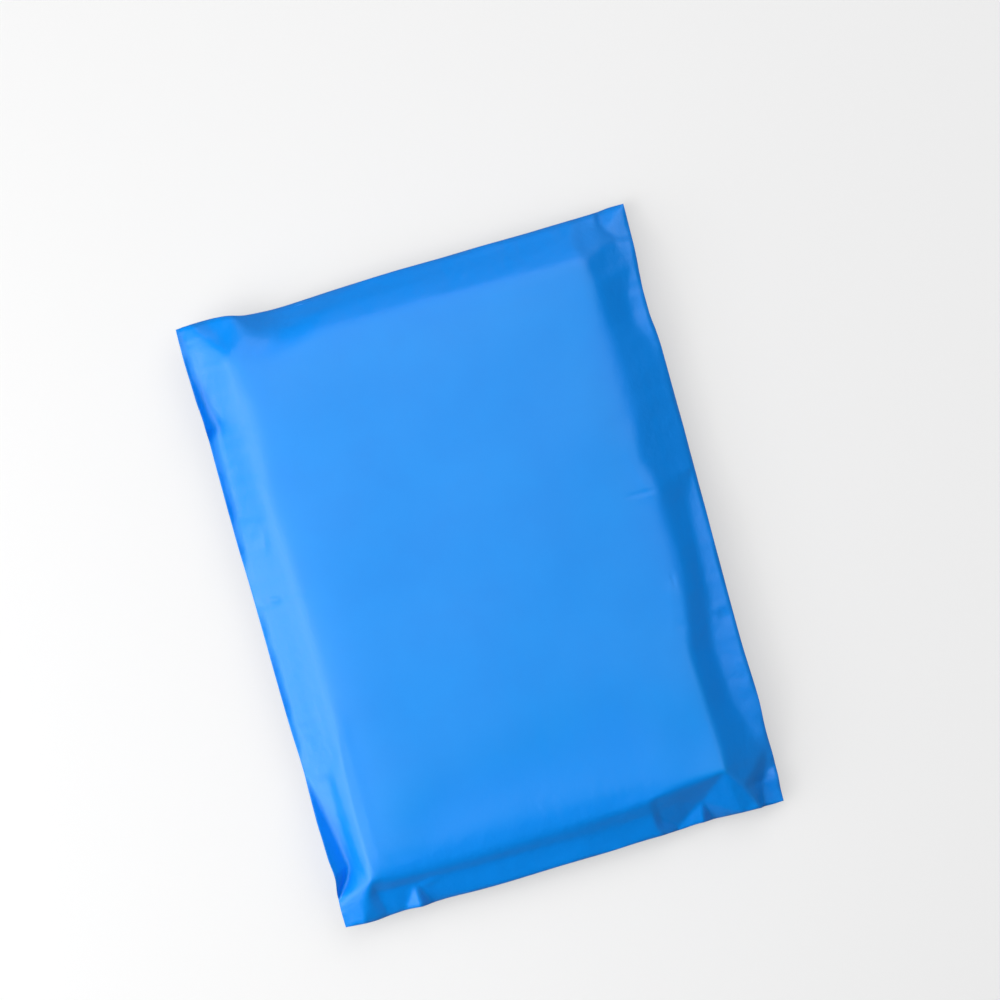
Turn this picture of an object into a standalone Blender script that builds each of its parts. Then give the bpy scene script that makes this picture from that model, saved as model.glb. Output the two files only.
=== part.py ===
"""A sealed polyethylene mailing bag with a flat pack inside, lying on its back.

The bag is one folded and welded film, so it is one closed solid. X runs across
the bag, Y along it with the closing flap at +Y, and Z up from the surface that
the bag lies on. The origin is at the middle of the underside.

The outline isn't drawn: it follows from the flat bag and from the pack, because
the film that climbs over the pack's sides is missing from the bag's length and
width.
"""

import math

import bmesh
import bpy

# The empty bag, laid flat
FLAT_WIDTH = 0.229
FLAT_LENGTH = 0.305
FLAP_DEPTH = 0.045

# The pack inside, measured between the shoulders that it makes in the film,
# and how far it has slid from the middle of the bag
PACK_WIDTH = 0.1767
PACK_LENGTH = 0.2567
PACK_HEIGHT = 0.030
PACK_SHIFT_X = -0.0031
PACK_SHIFT_Y = 0.0015
TOP_CROWN = 0.0008

# The slope between the rim and the shoulder, as shares of its run
FOOT_ROUND = 0.4
SHOULDER_ROUND = 0.3
CORNER_POWER = 3.0

# The welded and folded rim, where the front film meets the back film
RIM_THICKNESS = 0.0006
RIM_LEVEL = 0.5
CORNER_SPREAD = 0.0017
CORNER_CUT = 0.0014
CORNER_DROP = 0.006

# The step where the flap's free edge lies across the underside
FLAP_STEP = 0.00025
FLAP_STEP_RUN = 0.0003
FLAP_RAMP_RUN = 0.004

# How fast the drawn-out and drooping corners fade along the sides
CORNER_FADE = 4

# Edges that turn by more than this are creases, and the rest is shaded smooth
CREASE_ANGLE = math.radians(40)

# Lines of the mesh: on the slope, as shares of its run from the rim, then
# across and along the face. Two lines nearer than the least gap are one.
SLOPE_LINES = (0.0, 0.14, 0.3, 0.45, 0.6, 0.74, 0.86, 1.0, 1.15)
ACROSS_LINES = 4
ALONG_LINES = 6
LEAST_LINE_GAP = 0.0002

# Pleats that stand up where the film is gathered at the rim: the side, which
# of its two ends, the crest's distance in from the pack's corner, the width
# and the lift
PLEATS = (
    ("near", -1, 0.0195, 0.012, 0.0030),
    ("near", 1, 0.0150, 0.014, 0.0026),
    ("far", -1, 0.0160, 0.016, 0.0028),
    ("left", -1, 0.0120, 0.020, 0.0034),
    ("left", 1, 0.0310, 0.016, 0.0020),
    ("right", 1, 0.0320, 0.014, 0.0022),
)

FILM_COLOUR = (0.04, 0.31, 0.88, 1.0)
FILM_ROUGHNESS = 0.38


def reach_beside_pack(flat_size, pack_size):
    """How far the rim stands out from the pack's shoulder, seen from above."""
    film = (flat_size - pack_size) / 2
    drop = PACK_HEIGHT * (1 - RIM_LEVEL)
    return math.sqrt(film**2 - drop**2)


REACH_X = reach_beside_pack(FLAT_WIDTH, PACK_WIDTH)
REACH_Y = reach_beside_pack(FLAT_LENGTH, PACK_LENGTH)
HALF_WIDTH = PACK_WIDTH / 2 + REACH_X
HALF_LENGTH = PACK_LENGTH / 2 + REACH_Y
FAR_SLOPE = math.hypot(REACH_Y - PACK_SHIFT_Y, PACK_HEIGHT * RIM_LEVEL)
FLAP_EDGE = PACK_SHIFT_Y + PACK_LENGTH / 2 + FAR_SLOPE - FLAP_DEPTH


def clear_scene():
    """Remove every object that the startup file holds."""
    for item in list(bpy.data.objects):
        bpy.data.objects.remove(item, do_unlink=True)


def film_material():
    """The satin blue film."""
    material = bpy.data.materials.new("blue_film")
    material.use_nodes = True
    shader = material.node_tree.nodes["Principled BSDF"]
    shader.inputs["Base Color"].default_value = FILM_COLOUR
    shader.inputs["Roughness"].default_value = FILM_ROUGHNESS
    shader.inputs["Metallic"].default_value = 0.0
    return material


def pleat_place(side, end, inset):
    """Where a pleat's crest lies along its side."""
    if side in ("near", "far"):
        return PACK_SHIFT_X + end * (PACK_WIDTH / 2 - inset)
    return PACK_SHIFT_Y + end * (PACK_LENGTH / 2 - inset)


def pleat_lines(sides):
    """The two feet and the crest of each pleat on these sides."""
    found = []
    for side, end, inset, width, _ in PLEATS:
        if side in sides:
            place = pleat_place(side, end, inset)
            found += [place - width / 2, place, place + width / 2]
    return found


def mesh_lines(half, reach, shift, count, extra):
    """Places of the mesh lines along one axis, from one rim to the other."""
    low = [-half + share * (reach + shift) for share in SLOPE_LINES]
    high = [half - share * (reach - shift) for share in reversed(SLOPE_LINES)]
    step = (high[0] - low[-1]) / (count + 1)
    face = [low[-1] + step * (k + 1) for k in range(count)]
    places = sorted(low + face + extra + high)
    pairs = zip(places, places[1:])
    return places[:1] + [b for a, b in pairs if b - a > LEAST_LINE_GAP]


def slope_part(place, half, reach, shift):
    """0 on the pack, rising to 1 at the nearer rim, along one axis."""
    side_reach = reach + shift if place < 0 else reach - shift
    return max(0.0, 1 - (half - abs(place)) / side_reach)


def share_of_slope(x, y):
    """0 at the rim and 1 on the pack. The pack's corners are rounded."""
    across = slope_part(x, HALF_WIDTH, REACH_X, PACK_SHIFT_X)
    along = slope_part(y, HALF_LENGTH, REACH_Y, PACK_SHIFT_Y)
    power = CORNER_POWER
    return max(0.0, 1 - (across**power + along**power) ** (1 / power))


def film_rise(share):
    """Rise from 0 at the rim to 1 on the pack, with a rounded foot and shoulder."""
    steepness = 1 / (1 - (FOOT_ROUND + SHOULDER_ROUND) / 2)
    if share < FOOT_ROUND:
        return steepness * share**2 / (2 * FOOT_ROUND)
    if share < 1 - SHOULDER_ROUND:
        return steepness * (share - FOOT_ROUND / 2)
    return 1 - steepness * (1 - share) ** 2 / (2 * SHOULDER_ROUND)


def pleat_lift(x, y):
    """How far the pleats raise both films at a place."""
    rims = {
        "near": (HALF_LENGTH + y, REACH_Y, x),
        "far": (HALF_LENGTH - y, REACH_Y, x),
        "left": (HALF_WIDTH + x, REACH_X, y),
        "right": (HALF_WIDTH - x, REACH_X, y),
    }
    lift = 0.0
    for side, end, inset, width, height in PLEATS:
        from_rim, reach, along = rims[side]
        beside = max(0.0, 1 - abs(along - pleat_place(side, end, inset)) / (width / 2))
        inward = max(0.0, 1 - from_rim / reach)
        lift += height * beside * inward
    return lift


def nearness(place, half):
    """0 in the middle of a side and 1 at its end, rising late."""
    return (abs(place) / half) ** CORNER_FADE


def rim_height(x, y):
    """Height midway between the two films where they meet."""
    corner = nearness(x, HALF_WIDTH) * nearness(y, HALF_LENGTH)
    return PACK_HEIGHT * RIM_LEVEL - CORNER_DROP * corner + pleat_lift(x, y)


def crown(x, y):
    """How far the filled face stands above its own shoulders."""
    across = min(1.0, abs(x - PACK_SHIFT_X) / (PACK_WIDTH / 2))
    along = min(1.0, abs(y - PACK_SHIFT_Y) / (PACK_LENGTH / 2))
    return TOP_CROWN * (1 - across**2) * (1 - along**2)


def front_height(x, y):
    """Height of the front film, which lies uppermost."""
    rim = rim_height(x, y) + RIM_THICKNESS / 2
    shoulder = PACK_HEIGHT - TOP_CROWN
    return rim + (shoulder - rim) * film_rise(share_of_slope(x, y)) + crown(x, y)


def flap_step(y):
    """How far the back film is held up just past the flap's free edge."""
    past = FLAP_EDGE - y
    if past < 0 or past > FLAP_RAMP_RUN:
        return 0.0
    if past < FLAP_STEP_RUN:
        return FLAP_STEP * past / FLAP_STEP_RUN
    return FLAP_STEP * (FLAP_RAMP_RUN - past) / (FLAP_RAMP_RUN - FLAP_STEP_RUN)


def back_height(x, y):
    """Height of the back film, which lies flat under the pack."""
    rim = rim_height(x, y) - RIM_THICKNESS / 2
    rise = film_rise(share_of_slope(x, y))
    return rim * (1 - rise) + flap_step(y) * rise


def plan_place(x, y):
    """The place seen from above, with each side drawn out towards its corners."""
    out_x = CORNER_SPREAD * nearness(y, HALF_LENGTH) * x / HALF_WIDTH
    out_y = CORNER_SPREAD * nearness(x, HALF_WIDTH) * y / HALF_LENGTH
    return x + out_x, y + out_y


def add_film(mesh, x_lines, y_lines, height_at):
    """Add one film as a grid, shaped over the pack."""
    made = bmesh.ops.create_grid(
        mesh,
        x_segments=len(x_lines) - 1,
        y_segments=len(y_lines) - 1,
        size=0.5,
    )
    for vertex in made["verts"]:
        x = x_lines[round((vertex.co.x + 0.5) * (len(x_lines) - 1))]
        y = y_lines[round((vertex.co.y + 0.5) * (len(y_lines) - 1))]
        vertex.co.z = height_at(x, y)
        vertex.co.x, vertex.co.y = plan_place(x, y)
    corners = [vertex for vertex in made["verts"] if len(vertex.link_edges) == 2]
    for vertex in corners:
        vertex.co.x -= math.copysign(CORNER_CUT, vertex.co.x)
        vertex.co.y -= math.copysign(CORNER_CUT, vertex.co.y)


def mailer_bag(material):
    """The whole sealed bag as one closed solid."""
    flap_lines = [FLAP_EDGE - past for past in (0.0, FLAP_STEP_RUN, FLAP_RAMP_RUN)]
    end_pleats = pleat_lines(("near", "far"))
    side_pleats = pleat_lines(("left", "right"))
    along_extra = side_pleats + flap_lines
    x_lines = mesh_lines(HALF_WIDTH, REACH_X, PACK_SHIFT_X, ACROSS_LINES, end_pleats)
    y_lines = mesh_lines(HALF_LENGTH, REACH_Y, PACK_SHIFT_Y, ALONG_LINES, along_extra)
    mesh = bmesh.new()
    add_film(mesh, x_lines, y_lines, front_height)
    add_film(mesh, x_lines, y_lines, back_height)
    bmesh.ops.bridge_loops(mesh, edges=[edge for edge in mesh.edges if edge.is_boundary])
    bmesh.ops.recalc_face_normals(mesh, faces=mesh.faces)
    data = bpy.data.meshes.new("mailer_bag")
    mesh.to_mesh(data)
    mesh.free()
    data.shade_smooth()
    data.set_sharp_from_angle(angle=CREASE_ANGLE)
    data.materials.append(material)
    bag = bpy.data.objects.new("mailer_bag", data)
    bpy.context.scene.collection.objects.link(bag)
    return bag


def main():
    """Build the bag."""
    clear_scene()
    mailer_bag(film_material())


main()
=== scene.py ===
"""Looks of a sealed, filled polyethylene mailing bag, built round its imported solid.

The bag is one film: a front panel and a back panel that meet in a rim. The front
is folded over the pack along the creases that the photo shows. A cloth simulation
then lets both panels settle, and the closing flap lies glued on the underside.
The film's sizes are in millimetres, and those of the studio and the finishes in metres.
"""

import logging
import math
from dataclasses import dataclass, field
from enum import Enum

import bmesh
import bpy
import numpy as np
from mathutils import Matrix, Vector
from mathutils.geometry import delaunay_2d_cdt


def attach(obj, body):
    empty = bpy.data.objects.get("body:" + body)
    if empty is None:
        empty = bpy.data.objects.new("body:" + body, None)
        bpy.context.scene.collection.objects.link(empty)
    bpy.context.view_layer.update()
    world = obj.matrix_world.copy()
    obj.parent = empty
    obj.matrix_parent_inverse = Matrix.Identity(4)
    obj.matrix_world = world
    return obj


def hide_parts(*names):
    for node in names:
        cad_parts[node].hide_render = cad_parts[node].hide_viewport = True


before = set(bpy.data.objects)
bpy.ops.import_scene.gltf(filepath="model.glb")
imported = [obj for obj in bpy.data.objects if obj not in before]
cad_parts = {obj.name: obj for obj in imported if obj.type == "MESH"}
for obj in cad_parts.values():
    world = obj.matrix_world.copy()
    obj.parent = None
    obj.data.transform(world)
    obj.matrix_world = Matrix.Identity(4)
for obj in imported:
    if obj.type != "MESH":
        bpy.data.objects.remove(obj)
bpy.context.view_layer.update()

LOG = logging.getLogger("mailer_bag")
Point = tuple[float, float, float]
Triples = tuple[tuple[float, float, float], ...]
Colour = tuple[float, float, float, float]
MM = 0.001
TINY = 1e-6
LEAST = 1e-12
RIM_SOFTNESS = 0.5

HALF_WIDTH = 109.75
HALF_LENGTH = 147.25
PACK_LEFT = -91.4
PACK_RIGHT = 85.3
PACK_NEAR = -126.9
PACK_FAR = 129.9
PACK_TOP = 30.0


class Panel(Enum):
    """The two panels of the bag."""

    FRONT = 1
    BACK = -1


class Axis(Enum):
    """The two ways that the bag's sides run."""

    WIDTH = 0
    LENGTH = 1


@dataclass(frozen=True)
class Crease:
    """A fold line on the front panel, in millimetres.

    softness is the radius over which the film bends at the line, and points are the
    places that the line joins, each with its height over the table.
    """

    softness: float
    points: tuple[Point, ...]


def rim_side(axis: Axis, at: float, *heights: tuple[float, float]) -> Crease:
    """One side of the rim, as a sharp crease.

    Args:
        axis: The way that the side runs.
        at: The side's place on the other axis.
        heights: Place along the side and height, in order.

    Returns:
        The crease.
    """
    points = ((place, at, z) if axis is Axis.WIDTH else (at, place, z) for place, z in heights)
    return Crease(RIM_SOFTNESS, tuple(points))


def creases(*runs: tuple[float | Point, ...]) -> tuple[Crease, ...]:
    """Creases that each have a softness and points of their own."""
    return tuple(Crease(softness, tuple(points)) for softness, *points in runs)


def run_on(start: Point, *runs: tuple[float | Point, ...]) -> tuple[Crease, ...]:
    """Creases end to end, each with a softness of its own.

    Args:
        start: Where the first crease starts.
        runs: Softness and further points of each crease.

    Returns:
        The creases.
    """
    joined = []
    for softness, *points in runs:
        joined.append((softness, start, *points))
        start = points[-1]
    return creases(*joined)


def smooth_through(places: np.ndarray, values: np.ndarray, at: np.ndarray) -> np.ndarray:
    """A smooth curve through given points that doesn't overshoot them.

    Args:
        places: Rising places of the points.
        values: The curve's value at each place.
        at: Places to read the curve at.

    Returns:
        The curve's values. Beyond the ends they stay as at the ends.
    """
    steps = np.diff(places)
    slopes = np.diff(values) / steps
    tangent = np.zeros(len(places))
    rising = slopes[:-1] * slopes[1:] > 0
    mean = 2 * slopes[:-1] * slopes[1:] / np.where(rising, slopes[:-1] + slopes[1:], 1.0)
    tangent[1:-1] = np.where(rising, mean, 0.0)
    at = np.clip(at, places[0], places[-1])
    k = np.clip(np.searchsorted(places, at, side="right") - 1, 0, len(steps) - 1)
    t = (at - places[k]) / steps[k]
    first = (2 * t**3 - 3 * t**2 + 1) * values[k] + (t**3 - 2 * t**2 + t) * steps[k] * tangent[k]
    second = (3 * t**2 - 2 * t**3) * values[k + 1] + (t**3 - t**2) * steps[k] * tangent[k + 1]
    return first + second


# Where creases of the front meet, in millimetres
NEAR_LEFT = (-91.8, -129.5, 29)
NEAR_RIGHT = (84.7, -124.1, 29.6)
FAR_RIGHT = (86.4, 128, 29.2)
FAR_LEFT = (-90.5, 129, 28.8)
TUCK_TIP = (-75.7, 134.8, 25.4)
LEFT_DART_TIP = (-71.9, -135.8, 20.4)
RIGHT_DART_TIP = (70.5, -136.4, 15.8)
HOLLOW_FOOT = (56.5, -145.2, 8.6)
FLANK_TOP = (-96.8, -72.5, 24.2)

# The rim: place along each side and height there
RIM = (
    rim_side(
        Axis.LENGTH, -HALF_WIDTH, (147.25, 15.6), (141, 16.2), (134, 17.4), (118, 18.8), (105, 20.2),
        (97.5, 20.8), (93, 16), (88, 16.4), (80, 16), (48, 15.6), (0, 15.2), (-47, 15), (-72, 15.2),
        (-87.5, 20), (-99.4, 23.6), (-113.7, 26.4), (-122.2, 26.8), (-130, 22), (-134.2, 16), (-135.6, 17),
        (-137, 17.2), (-147.25, 13.2),
    ),
    rim_side(
        Axis.WIDTH, -HALF_LENGTH, (-109.75, 13.2), (-100.4, 16.6), (-88, 12.4), (-80.3, 13), (-71.6, 18.2),
        (-66.5, 11.4), (-50, 13.6), (0, 13.6), (36, 12.6), (48, 12.8), (52, 10.4), (55.5, 7.8), (68.8, 11),
        (74, 5.6), (87, 12.8), (97.8, 13.8), (99.5, 8.2), (109.75, 7.2),
    ),
    rim_side(
        Axis.LENGTH, HALF_WIDTH, (-147.25, 7.2), (-134, 10), (-129, 7.8), (-125, 9.4), (-113, 13.8),
        (-85, 15.8), (-28, 15.9), (0, 15.3), (20, 13.2), (50, 13), (75, 13.4), (84, 15), (91.5, 15.6),
        (97.8, 15.2), (103, 15.3), (112, 15), (122, 13.2), (130, 12.4), (132.4, 10.4), (147.25, 6.8),
    ),
    rim_side(
        Axis.WIDTH, HALF_LENGTH, (109.75, 6.8), (97.4, 6.6), (95.4, 9.8), (88, 11.6), (75, 12.8),
        (38, 13.6), (-20, 13.6), (-40, 11.6), (-54, 10.4), (-66, 8), (-76, 14), (-82.5, 18.4), (-88, 18),
        (-95.6, 15.8), (-102.6, 17.8), (-109.75, 15.6),
    ),
)

# Creases inside the rim: how softly each bends, then the places that it joins
FACE_SWELLS = run_on(
    (-72, 108, 30),
    (8, (-20, 100, 30), (58, 104, 30), (66, 40, 30)),
    (8, (66, -30, 30), (50, -72, 30), (0, -78, 30)),
    (8, (-50, -86, 30), (-74, -104, 29.9), (-76, -50, 30)),
    (8, (-74, 40, 30), (-72, 108, 30)),
)
SHOULDERS = run_on(
    FAR_LEFT,
    (7, (-91, 100, 29.1), (-90.6, 60, 29.2)),
    (4.5, (-88, 42, 29.3), (-86.4, 0, 29.3), (-86.8, -40, 29.3), (-88.2, -60, 29.3)),
    (1.8, (-90, -73, 29), (-90.8, -104, 28.8), (-91, -122, 28.9)),
    (1.8, NEAR_LEFT),
    (3.2, (-80, -130.4, 28.3), (-60, -130.6, 27.7), (0, -130.4, 26.8), (30, -129.8, 26.8)),
    (2.4, (45.5, -128.8, 27.3), (49.6, -127.8, 27.5), (65, -125.8, 28.6)),
    (2, NEAR_RIGHT, (85.6, -114, 29.5), (84.8, -98, 29.4)),
    (2, (84.3, -82, 29.4), (83.5, -66, 29.3)),
    (2.4, (87.2, -47, 29.2), (88.6, -37, 29.2)),
    (4.6, (89.4, -28, 29.2), (89, -8, 29.2), (88.4, 1, 29.2), (89.8, 11, 29.1)),
    (2.6, (88.6, 19.6, 29.1), (85.2, 28.6, 29.2), (86.2, 36, 29.3)),
    (5, (86.8, 50, 29.3), (86.8, 60, 29.3), (86, 74.4, 29.3), (85.8, 90, 29.4)),
    (5, (86.6, 116, 29.3)),
    (3, FAR_RIGHT, (50, 128.4, 29.3), (20, 128.4, 29.2)),
    (4, (-40, 128, 29)),
    (8, (-70, 127.4, 28.7), FAR_LEFT),
)
LEFT_FOLDS = creases(
    (4, FAR_LEFT, (-100, 134, 21.6), (-109.75, 134, 17.4)),
    (2.2, (-109.75, 134, 17.4), (-107, 118, 17.2), (-105.2, 105, 17.2), (-103.8, 97.5, 17.2)),
    (1.4, (-103.8, 97.5, 17.2), (-109.75, 93, 16)),
    (1.6, (-103.8, 97.5, 17.2), (-104.4, 80, 16.9), (-104.8, 56, 16.8), (-109.75, 48, 15.6)),
    (3, (-96, 42, 24.2), (-95.5, 0, 24.4), (-95.5, -55, 24.7), FLANK_TOP),
    (1, FLANK_TOP, (-99.4, -79, 21.3), (-99.4, -90, 21), (-98.9, -104, 21.2), (-98.4, -118, 21.8)),
    (1, FLANK_TOP, (-95.4, -79, 25.9), (-95.2, -90, 25.8), (-95.1, -104, 25.7), (-95.1, -120, 25.6)),
    (1.1, (-95.1, -120, 25.6), NEAR_LEFT),
    (0.8, (-109.75, -72, 15.2), (-108.3, -78, 16.2), (-106.4, -87.5, 17.2), (-104.3, -99.4, 18.2)),
    (0.8, (-104.3, -99.4, 18.2), (-103, -108.9, 18.8), (-101.9, -119.6, 19.2), (-109.75, -134.2, 16)),
    (0.8, (-98.4, -118, 21.8), (-99.2, -122, 21.4), (-104.4, -129.4, 17.9), (-109.75, -135.6, 17)),
    (1.6, NEAR_LEFT, (-98.2, -131.6, 24.8), (-109.75, -137, 17.2)),
    (1.2, NEAR_LEFT, (-99.2, -122, 21.4)),
)
NEAR_FOLDS = creases(
    (2.2, NEAR_LEFT, (-96.6, -138, 22.6), (-100.4, -147.25, 16.6)),
    (4, NEAR_LEFT, (-90.6, -134.6, 21.8), (-88, -147.25, 12.4)),
    (1.2, (-90.6, -134.6, 21.8), LEFT_DART_TIP, (-60, -135.2, 21.8), (-40, -135.8, 20.8)),
    (2.2, (-40, -135.8, 20.8), (0, -135.8, 20.2), (30, -135.6, 20), (45.9, -135.2, 21.4)),
    (0.7, LEFT_DART_TIP, (-80.3, -147.25, 13)),
    (0.6, LEFT_DART_TIP, (-71.6, -147.25, 18.2)),
    (0.6, LEFT_DART_TIP, (-66.5, -147.25, 11.4)),
    (1.2, (45.5, -128.8, 27.3), (45.9, -135.2, 21.4), (46.2, -139.9, 18.2), (48, -147.25, 12.8)),
    (0.8, (49.6, -127.8, 27.5), (49.4, -134, 20.8), (49.4, -139.9, 14.8), HOLLOW_FOOT),
    (0.8, NEAR_RIGHT, RIGHT_DART_TIP, HOLLOW_FOOT, (55.5, -147.25, 7.8)),
    (0.6, RIGHT_DART_TIP, (68.8, -147.25, 11)),
    (0.6, RIGHT_DART_TIP, (74, -147.25, 5.6)),
    (1.5, NEAR_RIGHT, (87, -147.25, 12.8)),
)
RIGHT_FOLDS = creases(
    (1.2, NEAR_RIGHT, (91.8, -134, 22.2), (96.2, -142.6, 15.8), (97.8, -147.25, 13.8)),
    (0.9, (109.75, -129, 7.8), (104, -131.2, 9.4), (101.4, -135.5, 9.4), (99.5, -147.25, 8.2)),
    (1.4, (109.75, -125, 9.4), (106.4, -120.5, 12.4), (103.6, -114, 15.2), (101, -105, 16.8)),
    (1.4, (101, -105, 16.8), (96.8, -92, 18.2), (95.7, -66, 18.4)),
    (1.8, (95.7, -66, 18.4), (99.5, -45, 18.2), (101.4, -10, 18), (102.5, 6, 17.4), (109.75, 20, 13.2)),
    (1.2, (109.75, 122, 13.2), (106.2, 118, 15.5), (103.4, 113, 17.2), (101.8, 107, 17.6),
     (101.4, 98, 17.6)),
    (1.2, (101.4, 98, 17.6), (102, 90, 17.6), (104.6, 84, 16.5), (109.75, 75, 13.4)),
)
FAR_FOLDS = creases(
    (3, FAR_RIGHT, (92.2, 132.4, 22.4), (96.6, 135.6, 17)),
    (1, (95.4, 147.25, 9.8), (95, 140.6, 13.8), (96.6, 135.6, 17), (101.6, 131.4, 15.4),
     (109.75, 130, 12.4)),
    (0.8, (97.4, 147.25, 6.6), (97.2, 141.2, 10.6), (98.9, 137, 13.2), (102.4, 133.6, 13),
     (109.75, 132.4, 10.4)),
    (2.5, (80, 137, 22.4), (38, 137.2, 22.6), (0, 137.6, 23.2), (-46, 137.6, 23.8)),
    (1.4, TUCK_TIP, (-69, 141, 15.6), (-66, 147.25, 8)),
    (1.8, TUCK_TIP, (-62, 141.4, 15.8), (-54, 147.25, 10.4)),
    (2.4, TUCK_TIP, (-80, 141, 22.8), (-82.5, 147.25, 18.4)),
    (2.2, FAR_LEFT, (-92.6, 137, 22.4), (-95.6, 147.25, 15.8)),
    (3, FAR_LEFT, (-97.4, 137, 23.4), (-102.6, 147.25, 17.8)),
)


@dataclass(frozen=True)
class Wrinkle:
    """A fine ridge, or a groove where its height is negative, in millimetres."""

    start: tuple[float, float]
    end: tuple[float, float]
    height: float
    width: float


WRINKLES = tuple(
    Wrinkle(*sizes)
    for sizes in (
        ((73, 13.6), (90.5, 13.1), -0.2, 1),
        ((78, 10.6), (90, 11.6), 0.08, 1.2),
        ((85.2, -27.5), (85.8, -33.5), -0.3, 0.9),
        ((80.5, -51.2), (86.5, -53.8), -0.34, 1),
        ((-107, 51), (-92, 47), 0.4, 1.8),
        ((-95.8, 44), (-98.6, 34), -0.4, 1.7),
        ((-103, 12.6), (-97.5, 10.4), -0.42, 1.1),
        ((-98, 10), (-84, 9), 0.22, 1.4),
        ((-108.5, 3), (-96, 2), -0.2, 1.2),
        ((-107, -48), (-95, -46), 0.24, 1.4),
        ((-108.5, -50.8), (-98, -52.4), -0.34, 1.3),
        ((-106, -55), (-101, -60), -0.4, 2),
        ((-60, 143), (-48, 138), 0.25, 1.2),
        ((18.2, 147), (21.6, 131.5), -0.42, 1.5),
        ((21.6, 146), (23.6, 134), 0.2, 1.2),
        ((97, 40), (107, 44), 0.2, 1.3),
        ((100, -30), (108, -34), -0.25, 1.1),
        ((98, -50), (108.5, -48), 0.3, 1.4),
        ((102.5, -52.5), (108.8, -55.5), -0.6, 2.2),
        ((99, -84), (108, -90), 0.22, 1.2),
        ((102.6, 99), (108.6, 97.6), -0.26, 1.2),
        ((-20, -146), (-24, -137), 0.2, 1.2),
        ((12, -146), (15, -138), -0.2, 1.1),
        ((-70.5, -137.8), (-59, -136.8), 0.4, 1.3),
        ((-107.5, 138), (-98.5, 139.6), -0.16, 1.6),
    )
)


@dataclass(frozen=True)
class Slack:
    """Fine unevenness of the loose film: lifts and sizes in millimetres."""

    seed: int = 7
    face_lift: float = 0.2
    face_size: float = 15.0
    slope_lift: float = 0.085
    slope_size: float = 1.7
    slope_reach: float = 5.5
    rim_lift: float = 0.07
    rim_size: float = 0.8
    rim_reach: float = 3.0
    level_height: float = 28.6
    loose_drop: float = 4.0
    loose_blur: float = 1.5
    corner_blend: float = 2.0
    curl_vary: float = 0.28
    curl_size: float = 4.5
    upright_from: float = -72.0
    upright_fade: float = 12.0


@dataclass(frozen=True)
class Curl:
    """How a rim turns up, or down where the rise is negative, in millimetres."""

    rise: float
    width: float


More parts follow.
